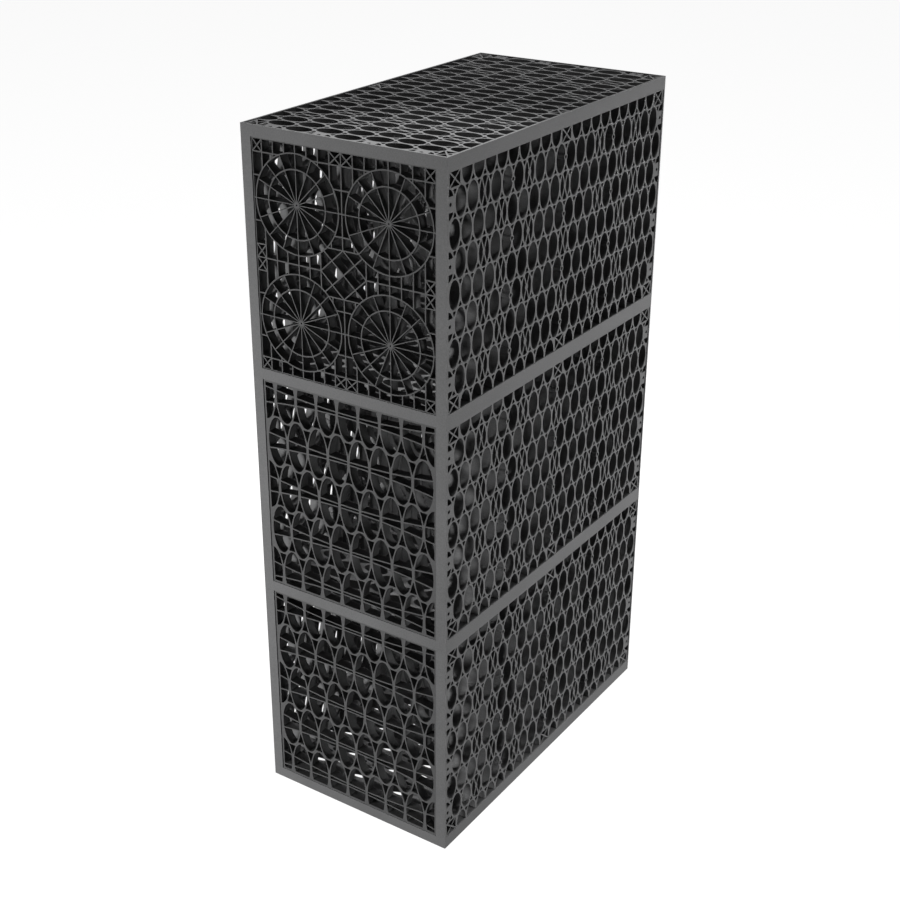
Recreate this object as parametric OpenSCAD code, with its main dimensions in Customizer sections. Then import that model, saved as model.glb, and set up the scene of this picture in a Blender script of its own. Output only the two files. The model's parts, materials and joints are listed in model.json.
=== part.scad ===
// Soakaway crate: three tiers of moulded lattice plates that plug together with pegs and sockets.
// X is the width, Y the depth with the front towards -Y, Z is up from the bottom face.

/* [Crate] */
// Width across the front
crate_w = 400; // [380:1:440]
// Depth from front to back
crate_d = 715; // [690:1:760]
// Height of the upright plates in one tier
tier_h = 400; // [385:1:430]
// How far the end plates sit inside the crate's end faces
end_inset = 1.5; // [0.5:0.1:4]

/* [Large plates] */
// Thickness of the level plates and the side plates
plate_t = 20; // [16:0.5:26]
// Width of the solid rim round a large plate
rim_w = 4; // [3:0.1:6]
// How far the lattice lies below the rim on the outer face
face_recess = 1.5; // [0.5:0.1:3]
// Distance between oval holes in a row
oval_pitch = 33.5; // [32:0.1:36]
// Distance between rows of oval holes
row_pitch = 48.6; // [47:0.1:51]
// Wall between two oval holes of a row
oval_wall = 6.3; // [4:0.1:9]
// Height of an oval hole
oval_h = 49.2; // [44:0.1:50]
// Diameter of the small round hole between three ovals
gap_d = 7.2; // [4:0.1:8.4]
// Distance of a small hole from the row of ovals beside it
gap_rise = 18; // [16:0.1:19]
// Width of the side holes in a crossed oval
side_w = 8.6; // [7.5:0.1:10]
// Width of the side holes in a crossed oval with a solid middle
boss_side_w = 7.2; // [5:0.1:9]
// Width of the holes at the tips of a crossed oval
tip_w = 10.2; // [6:0.1:10.8]
// Thickness of the straight braces that cross a half oval at the rim
brace_t = 2.4; // [1.5:0.1:3]
// Distance of those braces from the half oval's far end
brace_end = 1.6; // [0.5:0.1:4]
// Thickness of the webs that hold the end bosses
web_t = 2.6; // [1.5:0.1:4]

/* [Small plates] */
// Thickness of the end plates and the inner plates
small_t = 18; // [12:0.5:20]
// Width of the solid rim round a small plate
small_rim = 3.8; // [3:0.1:6]
// Distance between oval holes in a row
small_pitch = 44.1; // [42:0.1:48]
// Distance between rows of oval holes
small_row = 86.5; // [84:0.1:92]
// Wall between two oval holes of a row
small_wall = 5.2; // [4:0.1:8]
// Height of an oval hole
small_oval_h = 92.4; // [86:0.1:94]
// Width of the triangular hole between three ovals
small_gap_w = 14.8; // [8:0.1:16]
// Height of that hole
small_gap_h = 23.1; // [18:0.1:24.5]
// Distance of its point from the middle of the row of ovals beside it
small_gap_foot = 14.5; // [13:0.1:16]
// Thickness of the curved straps across an end plate
strap_t = 2.3; // [1.5:0.1:3]
// Gap between the two straps of a pair at the middle of the plate
strap_gap = 3.4; // [2:0.1:6]
// How far a strap rises from the middle of the plate to its sides
strap_rise = 12; // [6:0.5:13]

/* [Pipe entry plate] */
// Width of its rim
entry_rim = 2; // [1.5:0.1:4]
// Thickness of its ribs
entry_rib = 2.2; // [1.5:0.1:3]
// Distance between its upright ribs
entry_grid = 22.7; // [22:0.1:23]
// Diameter of the large knock-out ring
pipe_large_d = 170; // [160:1:172]
// Diameter of the small knock-out ring
pipe_small_d = 118; // [105:1:125]
// Height between the upper and the lower rings' centres
pipe_rise = 201; // [198:1:204]
// Number of spokes in a ring
pipe_spokes = 16; // [8:2:20]
// Thickness of a spoke
spoke_t = 1.6; // [1.2:0.1:2.6]
// Diameter of the hub that carries the spokes
hub_d = 10; // [10:0.5:16]
// Diameter of the pilot hole in the hub
hub_hole_d = 3; // [1:0.5:5]
// Half height of the lozenge in the middle
lozenge_h = 41; // [36:0.5:44]
// Distance of the short level ribs from a ring's centre line
short_rib_rise = 38; // [34:0.5:42]

/* [Pegs and sockets] */
// Diameter of a peg
peg_d = 6; // [4:0.1:7]
// Length of a peg
peg_len = 8; // [5:0.5:9]
// Clearance round a peg in its socket
peg_gap = 0.2; // [0.1:0.05:0.5]
// Wall round a socket
boss_wall = 2.4; // [1.5:0.1:3]
// Clearance between a small plate and the side plates
fit_gap = 0.3; // [0.1:0.05:0.6]
// Distance of the side plates' outer pegs from the crate's ends
peg_inset = 22.5; // [20:0.5:40]

/* [Hidden] */
tier_names = ["bottom", "middle", "top"];
inner_names = ["front", "centre", "rear"];
level_names = ["bottom_plate", "lower_mid_plate", "upper_mid_plate", "top_plate"];
front_names = ["bottom_front_plate", "middle_front_plate", "top_pipe_entry_plate"];

plastic = "dimgray";
// Smoothness of round shapes
$fn = 64;
// Least width of an oval that is cut by the rim
least_cut = 3;
// Distance that every small hole keeps from a rim
hole_margin = 1.5;
// Columns between two inner plates
inner_columns = 5;
// Rows that hold the pegs of the small plates
peg_rows = [-3, -1, 1, 3] * row_pitch;
// Columns of the crossed ovals in odd rows, in even rows and in the half rows at the edges
odd_braced = [3.5, 7.5];
even_braced = [0, 6];
edge_braced = [0, 10];
// Column of the crossed ovals with a solid middle
solid_braced = 3.5;
// Height of the side holes and of the tip holes to that of a crossed oval
side_share = 0.58;
tip_share = 0.36;

tier_pitch = tier_h + plate_t;
small_w = crate_w - 2 * plate_t - 2 * fit_gap;
end_line = crate_d / 2 - end_inset - small_t / 2;
inner_lines = [-1, 0, 1] * inner_columns * oval_pitch;
plate_lines = concat([-end_line, end_line], inner_lines);
side_peg_lines = [-1, 0, 1] * (crate_d / 2 - peg_inset);
side_line = crate_w / 2 - plate_t / 2;
oval_w = oval_pitch - oval_wall;
small_oval_w = small_pitch - small_wall;
// Height of an oval to its width
oval_stretch = oval_h / oval_w;
small_stretch = small_oval_h / small_oval_w;
socket_d = peg_d + 2 * peg_gap;
boss_d = socket_d + 2 * boss_wall;
// Upright ribs on each side of the pipe entry plate's middle
entry_columns = 7;
entry_w = small_w - 2 * entry_rim;
entry_h = tier_h - 2 * entry_rim;
pipe_column = 4 * entry_grid;
lozenge_w = 2 * entry_grid;

function odd(j) = abs(j) % 2;
// Places at a pitch, shifted by a share of it, no further out than reach
function places(shift, pitch, reach) =
    let (n = ceil(reach / pitch) + 1)
    [for (k = [-n : n]) if (abs(k + shift) * pitch < reach) (k + shift) * pitch];
// Is a place one of the listed columns, on either side of the middle
function listed(x, pitch, columns) = len([for (c = columns) if (abs(abs(x) - c * pitch) < 0.1) c]) > 0;
// Number of rows on each side of the middle row
function row_count(half, pitch, h) = floor((half + h / 2 - least_cut) / pitch);

// Round hole of a lattice before it is stretched, left and right ones as mirror images
module cell(x, y, d) {
    translate([x, y]) rotate(x < 0 ? -90 : 90) circle(d = d);
}

// Staggered cells in an opening, before they are stretched to ovals. The middle row has one in its middle.
// Columns can be left out of the inner rows that are odd or even, and of the two outermost rows.
module cell_rows(open_w, open_h, pitch, row, d, odd_out, even_out, edge_out) {
    n = row_count(open_h / 2, row, d);
    intersection() {
        square([open_w, open_h], center = true);
        for (j = [-n : n], x = places(odd(j) / 2, pitch, open_w / 2 + d / 2 - least_cut))
            if (!listed(x, pitch, abs(j) == n ? edge_out : odd(j) == 1 ? odd_out : even_out))
                cell(x, j * row, d);
    }
}

// Is a place beside one of the half ovals that straight braces cross
function by_brace(x) =
    listed(x - oval_pitch / 2, oval_pitch, edge_braced)
    || listed(x + oval_pitch / 2, oval_pitch, edge_braced);

// Small holes above and below each place where two ovals of a large plate meet
module gap_rows(open_w, open_h) {
    n = row_count(open_h / 2, row_pitch, oval_h);
    reach_x = open_w / 2 - gap_d / 2 - hole_margin;
    reach_y = open_h / 2 - gap_d / 2 - hole_margin;
    for (j = [-n : n], x = places((1 - odd(j)) / 2, oval_pitch, reach_x), s = [-1, 1])
        if (abs(j * row_pitch + s * gap_rise) < reach_y && !(abs(j) == n && by_brace(x)))
            translate([x, j * row_pitch + s * gap_rise]) circle(d = gap_d);
}

// Oval hole of its own size, left and right ones as mirror images
module oval(x, y, w, h) {
    translate([x, y]) scale([1, h / w]) rotate(x < 0 ? -90 : 90) circle(d = w, $fn = 48);
}

// Four oval holes that leave a crossed brace in a cell
module crossed_oval(x, y, h, side_w) {
    for (s = [-1, 1]) {
        oval(x + s * (oval_w / 2 - side_w / 2), y, side_w, h * side_share);
        oval(x, y + s * h * (1 - tip_share) / 2, tip_w, h * tip_share);
    }
}

// Four triangles that leave straight crossed braces in a rectangle
module crossed_square(x, y, w, h) {
    translate([x, y]) difference() {
        square([w, h], center = true);
        for (s = [-1, 1])
            rotate(s * atan2(h, w)) square([w + h, brace_t], center = true);
    }
}

// All crossed ovals of a large plate
module crossed_rows(open_w, open_h) {
    n = row_count(open_h / 2, row_pitch, oval_h);
    for (j = [1 - n : n - 1], x = places(odd(j) / 2, oval_pitch, open_w / 2))
        if (listed(x, oval_pitch, odd(j) == 1 ? odd_braced : even_braced))
            crossed_oval(x, j * row_pitch, oval_h,
                listed(x, oval_pitch, [solid_braced]) ? boss_side_w : side_w);
    edge_h = open_h / 2 - n * row_pitch + oval_h / 2 - brace_end;
    for (s = [-1, 1], x = places(odd(n) / 2, oval_pitch, open_w / 2))
        if (listed(x, oval_pitch, edge_braced))
            crossed_square(x, s * (open_h / 2 - edge_h / 2), oval_w, edge_h);
}

// Discs round the sockets, joined to the rim at the plate's sides and held by webs at its ends
module large_bosses(sockets) {
    for (p = sockets) {
        translate(p) circle(d = boss_d);
        if (abs(p.y) == side_line)
            translate(p + [0, sign(p.y) * boss_d / 2]) square(boss_d, center = true);
        if (abs(p.x) == end_line)
            translate(p) square([2 * boss_d, web_t], center = true);
    }
}

// Lattice of a large plate, with bosses at its sockets. Plates inside the crate have no crossed ovals.
module large_sheet(len, ht, sockets, crossed, gaps) {
    open_w = len - 2 * rim_w;
    open_h = ht - 2 * rim_w;
    round_h = open_h / oval_stretch;
    round_row = row_pitch / oval_stretch;
    difference() {
        square([len, ht], center = true);
        difference() {
            union() {
                scale([1, oval_stretch])
                    cell_rows(open_w, round_h, oval_pitch, round_row, oval_w,
                        crossed ? odd_braced : [], crossed ? even_braced : [], crossed ? edge_braced : []);
                if (crossed) crossed_rows(open_w, open_h);
            }
            large_bosses(sockets);
        }
        if (gaps) gap_rows(open_w, open_h);
        for (p = sockets) translate(p) circle(d = socket_d);
    }
}

// Raised rim on the outer face of a large plate
module large_rim(len, ht) {
    difference() {
        square([len, ht], center = true);
        square([len - 2 * rim_w, ht - 2 * rim_w], center = true);
    }
}

// Large plate lying on its inner face, its length along X. The children are pegs on its edges.
module large_plate(len, ht, sockets, recess, gaps) {
    linear_extrude(plate_t - recess) large_sheet(len, ht, sockets, recess > 0, gaps);
    if (recess > 0)
        translate([0, 0, plate_t - recess]) linear_extrude(recess) large_rim(len, ht);
    children();
}

// Pegs along two opposite edges of a plate that lies flat, at the given places
module edge_pegs(half, places_along, mid, root) {
    for (p = places_along, s = [-1, 1])
        translate([p, s * (half - root), mid]) rotate([-90 * s, 0, 0])
            cylinder(d = peg_d, h = peg_len + root, $fn = 32);
}

small_plate_sockets = [for (u = plate_lines, v = peg_rows) [u, v]];
side_plate_sockets = [for (u = side_peg_lines, s = [-1, 1]) [u, s * side_line]];

// Level plate with its outer face up
module level_plate(recess, gaps) {
    rotate(90)
        large_plate(crate_d, crate_w, concat(small_plate_sockets, side_plate_sockets), recess, gaps);
}

// Side plate, lying on its inner face
module side_plate() {
    large_plate(crate_d, tier_h, small_plate_sockets, face_recess, true)
        edge_pegs(tier_h / 2, side_peg_lines, plate_t / 2, rim_w / 2);
}

// Pegs on all four edges of a small plate
module small_pegs(rim) {
    edge_pegs(tier_h / 2, peg_rows, small_t / 2, rim / 2);
    rotate(90) edge_pegs(small_w / 2, peg_rows, small_t / 2, rim / 2);
}

// Curved straps, in pairs that come close together at the middle of each row
module straps(open_w, open_h) {
    n = row_count(open_h / 2, small_row, small_oval_h);
    radius = (open_w * open_w / 4 + strap_rise * strap_rise) / (2 * strap_rise);
    intersection() {
        square([open_w, open_h], center = true);
        for (j = [-n : n], s = [-1, 1])
            translate([0, j * small_row + s * (radius + strap_gap / 2)]) difference() {
                circle(r = radius);
                circle(r = radius - strap_t);
            }
    }
}

// Triangular holes above and below each place where two ovals of an end plate meet
module small_gaps(open_w, open_h) {
    n = row_count(open_h / 2, small_row, small_oval_h);
    reach_x = open_w / 2 - small_gap_w / 2 - hole_margin;
    tip = small_gap_foot + small_gap_h;
    for (j = [-n : n], x = places((1 - odd(j)) / 2, small_pitch, reach_x), s = [0, 1])
        if (abs(j * small_row + (1 - 2 * s) * tip) < open_h / 2 - hole_margin)
            translate([x, j * small_row]) rotate(180 * s)
                polygon([[0, small_gap_foot], [small_gap_w / 2, tip], [-small_gap_w / 2, tip]]);
}

// Small lattice plate, lying on its inner face. Front plates have straps, front and back plates have gaps.
module small_plate(strapped, gaps) {
    open_w = small_w - 2 * small_rim;
    open_h = tier_h - 2 * small_rim;
    round_h = open_h / small_stretch;
    round_row = small_row / small_stretch;
    linear_extrude(small_t) difference() {
        square([small_w, tier_h], center = true);
        difference() {
            scale([1, small_stretch])
                cell_rows(open_w, round_h, small_pitch, round_row, small_oval_w, [], [], []);
            if (strapped) straps(open_w, open_h);
        }
        if (gaps) small_gaps(open_w, open_h);
    }
    small_pegs(small_rim);
}

// Places the children at the middle of each pipe ring
module at_pipes() {
    for (x = [-1, 1] * pipe_column, y = [-1, 1] * pipe_rise / 2)
        translate([x, y]) children();
}

// A bar of the entry plate's rib thickness between two points
module rib(a, b) {
    d = b - a;
    translate((a + b) / 2) rotate(atan2(d.y, d.x))
        square([norm(d), entry_rib], center = true);
}

// Crossed ribs from one corner of a rectangle to the other, the first running on into the rim
module crossed_cell(a, b) {
    rib(a, b + (b - a) / norm(b - a) * entry_rib);
    rib([a.x, b.y], [b.x, a.y]);
}

// Upright and level ribs round the pipe rings
module entry_ribs() {
    cell_y = entry_h / 2 - entry_grid + entry_rim;
    cell_x = entry_columns * entry_grid;
    for (k = [-entry_columns : entry_columns], s = [-1, 1]) {
        foot = abs(k) < 2 ? lozenge_h : 0;
        rib([k * entry_grid, s * foot], [k * entry_grid, s * entry_h / 2]);
    }
    for (s = [-1, 1]) {
        rib([s * lozenge_w, 0], [s * entry_w / 2, 0]);
        rib([-entry_w / 2, s * cell_y], [entry_w / 2, s * cell_y]);
        rib([-lozenge_w, s * lozenge_h], [lozenge_w, s * lozenge_h]);
        for (r = [-1, 0, 1]) {
            y = s * pipe_rise / 2 + r * short_rib_rise;
            rib([-entry_w / 2, y], [entry_w / 2, y]);
        }
        for (t = [-1, 1]) {
            rib([s * cell_x, t * entry_grid], [s * entry_w / 2, t * entry_grid]);
            crossed_cell([s * cell_x, t * cell_y], [s * entry_w / 2, t * entry_h / 2]);
            crossed_cell([0, t * cell_y], [s * entry_grid, t * entry_h / 2]);
            crossed_cell([s * cell_x, 0], [s * entry_w / 2, t * entry_grid]);
            rib([s * lozenge_w, 0], [0, t * lozenge_h]);
        }
        rib([-s * lozenge_w, -lozenge_h], [s * lozenge_w, lozenge_h]);
    }
}

// One pipe ring: two rings on spokes, to be cut out to the pipe's size
module pipe_ring() {
    for (d = [pipe_large_d, pipe_small_d])
        difference() {
            circle(d = d);
            circle(d = d - 2 * entry_rib);
        }
    difference() {
        union() {
            for (i = [0 : pipe_spokes / 2 - 1])
                rotate(360 / pipe_spokes * i)
                    square([pipe_large_d - entry_rib, spoke_t], center = true);
            circle(d = hub_d);
        }
        circle(d = hub_hole_d);
    }
}

// Pipe entry plate, lying on its inner face
module pipe_entry_plate() {
    linear_extrude(small_t) {
        difference() {
            square([small_w, tier_h], center = true);
            square([entry_w, entry_h], center = true);
        }
        difference() {
            intersection() {
                square([entry_w + entry_rim, entry_h + entry_rim], center = true);
                entry_ribs();
            }
            at_pipes() circle(d = pipe_large_d - entry_rib);
        }
        at_pipes() pipe_ring();
    }
    small_pegs(entry_rim);
}

// Middle height of a tier
function tier_middle(t) = plate_t + tier_h / 2 + t * tier_pitch;

// Stands a small plate up at a place along the depth, with its outer face towards the nearer end
module stand_small(t, outer_y) {
    translate([0, outer_y - sign(outer_y) * small_t, tier_middle(t)])
        rotate([90, 0, outer_y > 0 ? 180 : 0]) children();
}

// Level plates, bottom to top: the two outer ones show their recessed face
for (i = [0 : 3])
    color(plastic) translate([0, 0, i * tier_pitch + (i == 0 ? plate_t : 0)])
            rotate([i == 0 ? 180 : 0, 0, 0]) level_plate(i % 3 == 0 ? face_recess : 0, i == 3);

// Side plates of each tier
for (t = [0 : 2], s = [0, 1])
    color(plastic) rotate(180 * (1 - s)) translate([crate_w / 2 - plate_t, 0, tier_middle(t)])
            rotate([90, 0, 90]) side_plate();

// Front plates, the top one with the pipe rings
for (t = [0 : 2])
    color(plastic) stand_small(t, end_inset - crate_d / 2) {
            if (t == 2) pipe_entry_plate();
            else small_plate(true, true);
        }

// Back plates
for (t = [0 : 2])
    color(plastic) stand_small(t, crate_d / 2 - end_inset) small_plate(false, true);

// Inner plates
for (t = [0 : 2], i = [0 : 2])
    color(plastic) translate([0, inner_lines[i] + small_t / 2, tier_middle(t)])
            rotate([90, 0, 0]) small_plate(false, false);
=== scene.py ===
"""Soakaway crate: lattice plates, plastic, light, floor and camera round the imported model, in metres."""
import json
import math

import bmesh
import bpy
from mathutils import Matrix, Vector


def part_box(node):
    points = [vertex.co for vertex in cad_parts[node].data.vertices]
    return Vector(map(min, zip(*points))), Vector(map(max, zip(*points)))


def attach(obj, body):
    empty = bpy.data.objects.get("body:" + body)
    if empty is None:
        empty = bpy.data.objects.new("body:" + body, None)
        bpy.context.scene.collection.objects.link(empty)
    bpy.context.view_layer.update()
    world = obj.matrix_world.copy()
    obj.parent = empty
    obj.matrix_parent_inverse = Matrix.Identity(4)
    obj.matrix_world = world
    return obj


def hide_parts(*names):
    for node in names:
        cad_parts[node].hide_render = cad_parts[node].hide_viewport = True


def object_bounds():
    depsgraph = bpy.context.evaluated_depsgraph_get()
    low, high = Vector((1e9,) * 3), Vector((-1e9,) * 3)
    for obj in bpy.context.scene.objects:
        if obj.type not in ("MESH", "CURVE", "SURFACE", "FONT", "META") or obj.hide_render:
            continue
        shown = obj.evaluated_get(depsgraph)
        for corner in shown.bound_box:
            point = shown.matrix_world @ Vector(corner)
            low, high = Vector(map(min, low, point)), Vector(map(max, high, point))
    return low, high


# Camera: place, turn, lens and sensor. The frame is square.
CAMERA_AT = (1.4142, -2.1781, 1.8390)
CAMERA_TURN_DEG = (64.834, 0.0, 34.212)
CAMERA_LENS_MM = 60.49
CAMERA_SENSOR_MM = 36.0
CAMERA_SHIFT = (0.0175, -0.0032)

# Light: a soft lamp for each side of the crate and one overhead, as name, place, aim, size and power.
# A weak even light comes from all round.
AMBIENT = 0.008
LAMPS = (
    ("front_lamp", (-1.3, -2.2, 0.25), (0.0, -0.36, 0.50), 0.5, 77.0),
    ("side_lamp", (2.1, 0.80, 0.52), (0.2, 0.1, 0.60), 0.5, 51.0),
    ("top_lamp", (0.3, -0.3, 8.0), (0.0, 0.0, 1.28), 1.2, 460.0),
    ("back_lamp", (0.1, 2.3, 0.60), (0.0, 0.36, 0.60), 0.5, 44.0),
    ("left_lamp", (-2.1, 0.2, 0.60), (-0.2, 0.0, 0.60), 0.5, 44.0),
)
# Spot: a soft pool of light on the top by its near corner, from straight above.
SPOT_AT = (0.15, -0.33, 4.0)
SPOT_ANGLE = math.radians(15.0)
SPOT_BLEND = 1.0
SPOT_RADIUS = 0.05
SPOT_POWER = 480.0

# Floor and backdrop: the tone that lights the crate from below, and for the eye the share of white
# that is the floor's own and the strength of that white. The rest of what is seen takes the shadow.
FLOOR_SIZE = 60.0
FLOOR_TONE = 0.06
FLOOR_SEEN_TONE = 0.9
FLOOR_OWN_SHARE = 0.85
FLOOR_OWN_WHITE = 1.1

# Plastic: tone of each group of plates, as linear grey with a trace more blue. The plates are one plastic;
# the end plates are painted darker against the stronger front lamp, the inner plates darker still as
# painted shade.
TONES = {"large_plastic": 0.112, "end_plastic": 0.070, "inner_plastic": 0.060}
BLUE_SHARE = 1.01
PLASTIC_IOR = 1.49
PLASTIC_SPECULAR = 0.06
# Marks in the plastic: scale, detail and roughness of their noise, and the part of its range that is used.
FLOW_MARKS = (7.0, 3.0, 0.55)
SPECKLE = (420.0, 2.0, 0.6)
SKIN_GRAIN = (900.0, 2.0, 0.5)
NOISE_MIDDLE = (0.3, 0.7)
# What the marks do: shares of the tone, roughness of the skin, and strength and depth of its grain.
FLOW_SHADE = (0.90, 1.10)
SPECKLE_SHADE = (0.88, 1.12)
SKIN_ROUGHNESS = (0.52, 0.66)
GRAIN_STRENGTH = 0.12
GRAIN_DEPTH = 0.0004

# Plates between the tiers: their edges show, so they take the plastic of the large plates, not the inner
# plates' painted shade.
BETWEEN_TIERS = ("lower_mid_plate", "upper_mid_plate")

# Lattice plates with their fine braces and gaps. Sizes are in millimetres on the plate itself,
# which has X along its length, Y across it and Z out of its face.
MM = 0.001
PLATE_SIZE = (715.0, 400.0, 20.0)
RIM_W = 4.0
OPEN_HALF = (PLATE_SIZE[0] / 2 - RIM_W, PLATE_SIZE[1] / 2 - RIM_W)
FACE_RECESS = 1.5
# Ovals: in rows about the middle of the plate, every other row half a pitch along. The rim cuts the
# ovals at its edge, and one that reaches less than the least cut inside it is left out. A place
# within the slack of a column belongs to it.
OVAL_PITCH = 33.5
ROW_PITCH = 48.6
EDGE_ROW = 4
ROWS = range(-EDGE_ROW, EDGE_ROW + 1)
OVAL_HALF = (14.5, 24.6)
OVAL_POINTS = 40
LEAST_CUT = 3.0
COLUMN_SLACK = 0.1
# Gap between three ovals: right half of its outline, from the line through the row's ovals.
GAP_HALF = ((0.0, 13.6), (1.3, 15.2), (3.1, 18.1), (4.5, 20.9), (3.3, 21.7), (1.7, 22.1), (0.0, 22.3))
GAP_HALF_W = max(x for x, y in GAP_HALF)
GAP_TOP = GAP_HALF[-1][1]
GAP_TO_RIM = 1.5
# Ovals with crossed braces: their columns in each kind of row, in oval pitches from the middle.
# The braces meet in a round heart, which is larger in the solid column.
BRACED = {"even": (0.0, 6.0), "odd": (3.5, 7.5), "edge": (0.0, 10.0)}
SOLID_COLUMN = 3.5
BRACE_ANGLE = math.radians(70.0)
BRACE_T = 2.7
HEART_R = 4.0
SOLID_HEART_R = 5.0
# Places in the list of the four holes between two braces.
ABOVE = 1
BELOW = 3
# Sockets: in the odd rows at some columns and near both ends, and along the long edges, where an
# upright plate has pegs instead. Both are drawn with flat sides.
SOCKET_R = 3.2
BOSS_R = 5.6
SOCKET_COLUMNS = (-5.0, 0.0, 5.0)
END_LINE = 347.0
END_BLOCK = 25.0
EDGE_LINES = (-335.0, 0.0, 335.0)
EDGE_SOCKET_AT = (PLATE_SIZE[1] - PLATE_SIZE[2]) / 2
PEG_R = 3.0
PEG_LENGTH = 8.0
PEG_ROOT = 2.0
ROUND_SIDES = 20
# Outlines of holes that meet a boss or a heart have points no further apart than this.
POINT_STEP = 1.6
# Points of the sheet and the rim closer than this, in metres, are made one.
WELD = 1e-6
# Turns that bring a plate's X, Y and Z to the crate's, one row for each of the crate's axes.
TURNS = {
    "right": ((0, 0, 1), (1, 0, 0), (0, 1, 0)),
    "left": ((0, 0, -1), (-1, 0, 0), (0, 1, 0)),
    "top": ((0, -1, 0), (1, 0, 0), (0, 0, 1)),
}
TIERS = ("bottom", "middle", "top")
LATTICE_PLATES = {f"{tier}_{side}_side_plate": side for side in ("right", "left") for tier in TIERS}
LATTICE_PLATES["top_plate"] = "top"


def placed(name, data):
    """New object in the scene."""
    made = bpy.data.objects.new(name, data)
    bpy.context.scene.collection.objects.link(made)
    return made


def node_tree(owner):
    """Empty node tree of a material or a world."""
    owner.use_nodes = True
    owner.node_tree.nodes.clear()
    return owner.node_tree


def add(tree, kind, **sockets):
    """New node, with values on the sockets that are named. An underscore stands for a space."""
    made = tree.nodes.new(kind)
    for name, value in sockets.items():
        made.inputs[name.replace("_", " ")].default_value = value
    return made


def grey(tone):
    """Colour of a grey tone."""
    return (tone, tone, tone, 1.0)


def noise(tree, where, marks):
    """Factor of a noise texture, from its scale, detail and roughness."""
    scale, detail, roughness = marks
    texture = add(tree, "ShaderNodeTexNoise", Scale=scale, Detail=detail, Roughness=roughness)
    tree.links.new(where, texture.inputs["Vector"])
    return texture.outputs["Fac"]


def spread(tree, factor, span):
    """Factor brought from the middle of a noise's range to run over a span."""
    fit = add(tree, "ShaderNodeMapRange", From_Min=NOISE_MIDDLE[0], From_Max=NOISE_MIDDLE[1],
              To_Min=span[0], To_Max=span[1])
    tree.links.new(factor, fit.inputs["Value"])
    return fit.outputs["Result"]


def moulded_plastic(name, tone):
    """Dark recycled plastic: slow cloudy flow marks, a fine speckle and an eggshell skin."""
    material = bpy.data.materials.new(name)
    tree = node_tree(material)
    # Adding the object's place gives plates that share a mesh different marks.
    shift = tree.nodes.new("ShaderNodeVectorMath")
    tree.links.new(add(tree, "ShaderNodeTexCoord").outputs["Object"], shift.inputs[0])
    tree.links.new(add(tree, "ShaderNodeObjectInfo").outputs["Location"], shift.inputs[1])
    where = shift.outputs[0]
    flow = noise(tree, where, FLOW_MARKS)
    speckle = noise(tree, where, SPECKLE)

    shade = tree.nodes.new("ShaderNodeMath")
    shade.operation = "MULTIPLY"
    tree.links.new(spread(tree, flow, FLOW_SHADE), shade.inputs[0])
    tree.links.new(spread(tree, speckle, SPECKLE_SHADE), shade.inputs[1])
    paint = tree.nodes.new("ShaderNodeMix")
    paint.data_type = "RGBA"
    paint.blend_type = "MULTIPLY"
    paint.inputs["Factor"].default_value = 1.0
    # In the end and inner copies this tone is darkened as painted shade.
    paint.inputs["A"].default_value = (tone, tone, tone * BLUE_SHARE, 1.0)
    tree.links.new(shade.outputs[0], paint.inputs["B"])

    bump = add(tree, "ShaderNodeBump", Strength=GRAIN_STRENGTH, Distance=GRAIN_DEPTH)
    tree.links.new(noise(tree, where, SKIN_GRAIN), bump.inputs["Height"])

    shader = add(tree, "ShaderNodeBsdfPrincipled", IOR=PLASTIC_IOR, Specular_IOR_Level=PLASTIC_SPECULAR)
    tree.links.new(paint.outputs["Result"], shader.inputs["Base Color"])
    tree.links.new(spread(tree, flow, SKIN_ROUGHNESS), shader.inputs["Roughness"])
    tree.links.new(bump.outputs["Normal"], shader.inputs["Normal"])
    out = tree.nodes.new("ShaderNodeOutputMaterial")
    tree.links.new(shader.outputs["BSDF"], out.inputs["Surface"])
    return material


def seen_directly(tree):
    """One for rays that show the background as it is: from the camera, a reflection or a clear piece."""
    rays = tree.nodes.new("ShaderNodeLightPath")
    total = rays.outputs["Is Camera Ray"]
    for other in ("Is Glossy Ray", "Is Transmission Ray"):
        either = tree.nodes.new("ShaderNodeMath")
        either.operation = "MAXIMUM"
        tree.links.new(total, either.inputs[0])
        tree.links.new(rays.outputs[other], either.inputs[1])
        total = either.outputs[0]
    return total


def split_by_eye(tree, for_light, for_eye):
    """Shader that gives the eye one thing and lights the crate by another."""
    mix = tree.nodes.new("ShaderNodeMixShader")
    tree.links.new(seen_directly(tree), mix.inputs["Fac"])
    tree.links.new(for_light.outputs[0], mix.inputs[1])
    tree.links.new(for_eye.outputs[0], mix.inputs[2])
    return mix.outputs[0]


def light_world():
    """White to the eye, and a weak even light on the crate."""
    world = bpy.data.worlds.new("studio")
    bpy.context.scene.world = world
    tree = node_tree(world)
    dim = add(tree, "ShaderNodeBackground", Color=grey(1.0), Strength=AMBIENT)
    white = add(tree, "ShaderNodeBackground", Color=grey(1.0), Strength=1.0)
    out = tree.nodes.new("ShaderNodeOutputWorld")
    tree.links.new(split_by_eye(tree, dim, white), out.inputs["Surface"])


def pale_floor():
    """Floor that looks nearly white with a faint shadow, and throws little light on the crate."""
    material = bpy.data.materials.new("pale_floor")
    tree = node_tree(material)
    matte = add(tree, "ShaderNodeBsdfDiffuse", Color=grey(FLOOR_TONE))
    pale = add(tree, "ShaderNodeBsdfDiffuse", Color=grey(FLOOR_SEEN_TONE))
    white = add(tree, "ShaderNodeEmission", Color=grey(1.0), Strength=FLOOR_OWN_WHITE)
    seen = add(tree, "ShaderNodeMixShader", Fac=FLOOR_OWN_SHARE)
    tree.links.new(pale.outputs[0], seen.inputs[1])
    tree.links.new(white.outputs[0], seen.inputs[2])
    out = tree.nodes.new("ShaderNodeOutputMaterial")
    tree.links.new(split_by_eye(tree, matte, seen), out.inputs["Surface"])
    return material


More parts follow.
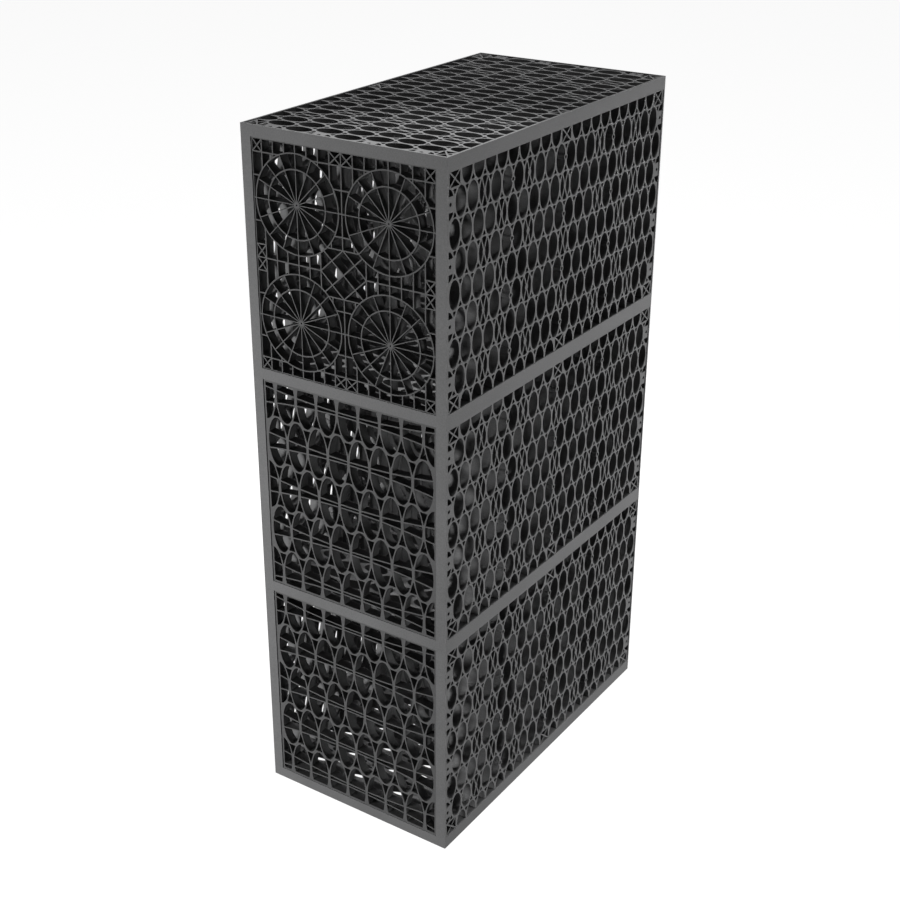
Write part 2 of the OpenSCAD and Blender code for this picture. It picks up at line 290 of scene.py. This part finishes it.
def lay_floor(level):
    """Flat floor under the crate."""
    mesh = bpy.data.meshes.new("floor")
    corners = [(x, y, level) for x, y in rectangle(FLOOR_SIZE, FLOOR_SIZE)]
    mesh.from_pydata(corners, [], [(0, 1, 2, 3)])
    mesh.materials.append(pale_floor())
    floor = placed("floor", mesh)


def hang(data, place, power):
    """Lamp that lights the scene and isn't seen itself."""
    data.energy = power
    lamp = placed(data.name, data)
    lamp.location = place
    lamp.visible_camera = False
    return lamp


def hang_lamps():
    """Soft square lamps that face the crate."""
    for name, place, aim, size, power in LAMPS:
        data = bpy.data.lights.new(name, "AREA")
        data.shape = "SQUARE"
        data.size = size
        lamp = hang(data, place, power)
        lamp.rotation_euler = (Vector(aim) - Vector(place)).to_track_quat("-Z", "Y").to_euler()


def hang_spot():
    """Spot that shines straight down on the top's near corner."""
    data = bpy.data.lights.new("corner_spot", "SPOT")
    data.spot_size = SPOT_ANGLE
    data.spot_blend = SPOT_BLEND
    data.shadow_soft_size = SPOT_RADIUS
    hang(data, SPOT_AT, SPOT_POWER)


def set_camera():
    """Camera at the view's place and angle."""
    data = bpy.data.cameras.new("camera")
    data.sensor_width = CAMERA_SENSOR_MM
    data.lens = CAMERA_LENS_MM
    data.shift_x, data.shift_y = CAMERA_SHIFT
    camera = placed("camera", data)
    camera.location = CAMERA_AT
    camera.rotation_euler = [math.radians(a) for a in CAMERA_TURN_DEG]
    bpy.context.scene.camera = camera


def ellipse(x, y, a, b, count):
    """Outline of an oval about a point."""
    turns = [2 * math.pi * (i + 0.5) / count for i in range(count)]
    return [(x + a * math.cos(t), y + b * math.sin(t)) for t in turns]


def rectangle(w, h):
    """Outline of a rectangle about the middle."""
    return [(-w / 2, -h / 2), (w / 2, -h / 2), (w / 2, h / 2), (-w / 2, h / 2)]


def clipped(points, at, normal):
    """Part of a convex outline on the side of a line that the normal points to."""
    height = [(p[0] - at[0]) * normal[0] + (p[1] - at[1]) * normal[1] for p in points]
    kept = []
    for i, p in enumerate(points):
        q, hp, hq = points[i - 1], height[i], height[i - 1]
        if (hp > 0) != (hq > 0):
            share = hq / (hq - hp)
            kept.append((q[0] + (p[0] - q[0]) * share, q[1] + (p[1] - q[1]) * share))
        if hp > 0:
            kept.append(p)
    return kept


def inside_rim(points):
    """Part of a convex outline that lies inside the plate's rim."""
    for axis in (0, 1):
        for s in (-1, 1):
            at, normal = [0.0, 0.0], [0.0, 0.0]
            at[axis] = s * OPEN_HALF[axis]
            normal[axis] = -s
            points = clipped(points, at, normal)
    return points


def finer(points, step):
    """Outline with points added so that none are further apart than the step."""
    made = []
    for i, p in enumerate(points):
        q = points[i - 1]
        count = max(1, math.ceil(math.dist(p, q) / step))
        for n in range(1, count + 1):
            made.append((q[0] + (p[0] - q[0]) * n / count, q[1] + (p[1] - q[1]) * n / count))
    return made


def clear_of(points, discs):
    """Outline with its points moved out of the discs that reach into it."""
    close = [d for d in discs if any(math.dist(p, d[:2]) < d[2] for p in points)]
    if not close:
        return points
    made = []
    for x, y in finer(points, POINT_STEP):
        for cx, cy, r in close:
            d = math.dist((x, y), (cx, cy))
            if d < r:
                x, y = cx + (x - cx) * r / d, cy + (y - cy) * r / d
        made.append((x, y))
    return made


def crossed(outline, at, angle):
    """Holes that two straight braces leave in an outline, to the right, above, to the left and below."""
    holes = []
    for quarter in range(4):
        facing = quarter * math.pi / 2
        lean = angle if quarter % 2 == 0 else math.pi / 2 - angle
        hole = outline
        for s in (-1, 1):
            turn = facing + s * (math.pi / 2 - lean)
            normal = (math.cos(turn), math.sin(turn))
            edge = (at[0] + normal[0] * BRACE_T / 2, at[1] + normal[1] * BRACE_T / 2)
            hole = clipped(hole, edge, normal)
        holes.append(hole)
    return holes


def in_columns(x, listed):
    """Whether a place along a row is one of the listed columns, on either side."""
    return any(abs(abs(x) - c * OVAL_PITCH) < COLUMN_SLACK for c in listed)


def places(shift, reach):
    """Places along a row, an oval pitch apart."""
    count = math.ceil(reach / OVAL_PITCH) + 1
    return [x for x in ((k + shift) * OVAL_PITCH for k in range(-count, count + 1)) if abs(x) < reach]


def edge_square_holes(x, side, edge_sockets):
    """Holes of a crossed square at a long edge. An edge with sockets has no hole by the rim."""
    w, h = 2 * OVAL_HALF[0], OVAL_HALF[1]
    middle = side * (OPEN_HALF[1] - h / 2)
    square = [(x + px, middle + py) for px, py in rectangle(w, h)]
    holes = crossed(square, (x, middle), math.atan2(h, w))
    if edge_sockets:
        del holes[ABOVE if side > 0 else BELOW]
    return holes


def oval_holes(x, y, kind, edge_sockets):
    """Holes of one oval: one if it is open, more if it is braced or holds an end block."""
    braced = in_columns(x, BRACED[kind])
    if braced and kind == "edge":
        return edge_square_holes(x, 1 if y > 0 else -1, edge_sockets)
    outline = inside_rim(ellipse(x, y, *OVAL_HALF, OVAL_POINTS))
    if braced:
        heart = SOLID_HEART_R if in_columns(x, (SOLID_COLUMN,)) else HEART_R
        return [clear_of(hole, [(x, y, heart)]) for hole in crossed(outline, (x, y), BRACE_ANGLE)]
    if kind == "odd" and abs(abs(x) - END_LINE) < OVAL_PITCH / 4:
        return [clipped(outline, (x, y + s * END_BLOCK / 2), (0, s)) for s in (-1, 1)]
    return [outline]


def gap_holes(x, y):
    """Small three-sided gaps above and below a row, between two of its ovals."""
    holes = []
    for s in (-1, 1):
        if abs(y + s * GAP_TOP) < OPEN_HALF[1] - GAP_TO_RIM:
            right = [(x + px, y + s * py) for px, py in GAP_HALF]
            left = [(x - px, y + s * py) for px, py in GAP_HALF[-2:0:-1]]
            holes.append(right + left)
    return holes


def socket_places(edge_sockets):
    """Places of the sockets that have a round boss, and of those in the end blocks."""
    odd_rows = [j * ROW_PITCH for j in ROWS if j % 2]
    in_bosses = [(c * OVAL_PITCH, y) for y in odd_rows for c in SOCKET_COLUMNS]
    if edge_sockets:
        in_bosses += [(x, s * EDGE_SOCKET_AT) for x in EDGE_LINES for s in (-1, 1)]
    in_blocks = [(s * END_LINE, y) for y in odd_rows for s in (-1, 1)]
    return in_bosses, in_blocks


def lattice_holes(edge_sockets):
    """Outlines of every hole in a lattice plate, with or without sockets along its long edges."""
    in_bosses, in_blocks = socket_places(edge_sockets)
    bosses = [(x, y, BOSS_R) for x, y in in_bosses]
    holes = [ellipse(x, y, SOCKET_R, SOCKET_R, ROUND_SIDES) for x, y in in_bosses + in_blocks]
    for j in ROWS:
        y = j * ROW_PITCH
        kind = "edge" if abs(j) == EDGE_ROW else "odd" if j % 2 else "even"
        shift = j % 2 / 2
        for x in places(shift, OPEN_HALF[0] + OVAL_HALF[0] - LEAST_CUT):
            holes += [clear_of(hole, bosses) for hole in oval_holes(x, y, kind, edge_sockets)]
        for x in places(0.5 - shift, OPEN_HALF[0] - GAP_HALF_W - GAP_TO_RIM):
            beside = [x - OVAL_PITCH / 2, x + OVAL_PITCH / 2]
            if kind != "edge" or not any(in_columns(b, BRACED["edge"]) for b in beside):
                holes += gap_holes(x, y)
    return holes


def filled(outlines, low, high):
    """Mesh of a flat piece between two heights, from its outline and the holes in it."""
    curve = bpy.data.curves.new("outlines", "CURVE")
    curve.dimensions = "2D"
    curve.fill_mode = "BOTH"
    curve.extrude = (high - low) / 2 * MM
    for points in outlines:
        spline = curve.splines.new("POLY")
        spline.points.add(len(points) - 1)
        spline.points.foreach_set("co", [v for x, y in points for v in (x * MM, y * MM, 0.0, 1.0)])
        spline.use_cyclic_u = True
    holder = placed("outlines", curve)
    bpy.context.view_layer.update()
    mesh = bpy.data.meshes.new_from_object(holder.evaluated_get(bpy.context.evaluated_depsgraph_get()))
    bpy.data.objects.remove(holder)
    bpy.data.curves.remove(curve)
    mesh.transform(Matrix.Translation((0, 0, (low + high) / 2 * MM)))
    return mesh


def add_pegs(joined):
    """Pegs along both long edges, halfway through the plate's thickness."""
    across = Matrix.Rotation(math.pi / 2, 4, "X")
    out = (PLATE_SIZE[1] + PEG_LENGTH - PEG_ROOT) / 2
    for x in EDGE_LINES:
        for s in (-1, 1):
            place = Matrix.Translation((x * MM, s * out * MM, PLATE_SIZE[2] / 2 * MM))
            bmesh.ops.create_cone(joined, cap_ends=True, segments=ROUND_SIDES,
                                  radius1=PEG_R * MM, radius2=PEG_R * MM,
                                  depth=(PEG_LENGTH + PEG_ROOT) * MM, matrix=place @ across)


def lattice_mesh(name, edge_sockets, plastic):
    """Lattice sheet with a raised rim, and either sockets or pegs along its long edges."""
    length, across, thick = PLATE_SIZE
    face = thick - FACE_RECESS
    whole = rectangle(length, across)
    opening = rectangle(2 * OPEN_HALF[0], 2 * OPEN_HALF[1])
    sheet = filled([whole] + lattice_holes(edge_sockets), 0.0, face)
    rim = filled([whole, opening], face, thick)
    joined = bmesh.new()
    for piece in (sheet, rim):
        joined.from_mesh(piece)
        bpy.data.meshes.remove(piece)
    bmesh.ops.remove_doubles(joined, verts=joined.verts, dist=WELD)
    if not edge_sockets:
        add_pegs(joined)
    mesh = bpy.data.meshes.new(name)
    joined.to_mesh(mesh)
    joined.free()
    mesh.shade_flat()
    mesh.materials.append(plastic)
    return mesh


def set_lattice_plates(plastic):
    """Puts the fine lattice in the place of the side plates and the top plate."""
    side_lattice = lattice_mesh("side_lattice", False, plastic)
    level_lattice = lattice_mesh("level_lattice", True, plastic)
    meshes = {"right": side_lattice, "left": side_lattice, "top": level_lattice}
    for node, side in LATTICE_PLATES.items():
        low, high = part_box(node)
        mid_height = (low[2] + high[2]) / 2
        inner = {"right": (low[0], 0.0, mid_height),
                 "left": (high[0], 0.0, mid_height),
                 "top": (0.0, 0.0, low[2])}
        plate = placed(node + "_lattice", meshes[side])
        plate.matrix_world = Matrix.Translation(inner[side]) @ Matrix(TURNS[side]).to_4x4()
        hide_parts(node)
        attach(plate, "root")


def dress_plates(frame):
    """Gives each plate the plastic of its slot in the record, or the large plates' between the tiers."""
    # The darker tones of the end and inner slots are painted shade.
    plastics = {slot: moulded_plastic(slot, tone) for slot, tone in TONES.items()}
    slots = {part["node"]: part["material_slot"] for part in frame["record"]["subparts"]}
    slots.update({name: "large_plastic" for name in BETWEEN_TIERS})
    for name, plate in frame["nodes"].items():
        for holder in plate.material_slots:
            holder.material = plastics[slots[name]]
    return plastics


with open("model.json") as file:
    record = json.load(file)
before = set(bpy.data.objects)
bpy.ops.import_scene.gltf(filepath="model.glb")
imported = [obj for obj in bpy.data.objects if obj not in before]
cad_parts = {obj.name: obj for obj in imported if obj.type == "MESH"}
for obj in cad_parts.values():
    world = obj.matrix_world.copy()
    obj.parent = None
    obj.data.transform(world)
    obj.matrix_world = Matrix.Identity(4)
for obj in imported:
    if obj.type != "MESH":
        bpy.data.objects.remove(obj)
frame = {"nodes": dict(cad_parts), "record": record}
cad_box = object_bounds()
bpy.context.scene.view_settings.view_transform = "Standard"
set_lattice_plates(dress_plates(frame)["large_plastic"])
light_world()
lay_floor(cad_box[0][2])
hang_lamps()
hang_spot()
set_camera()
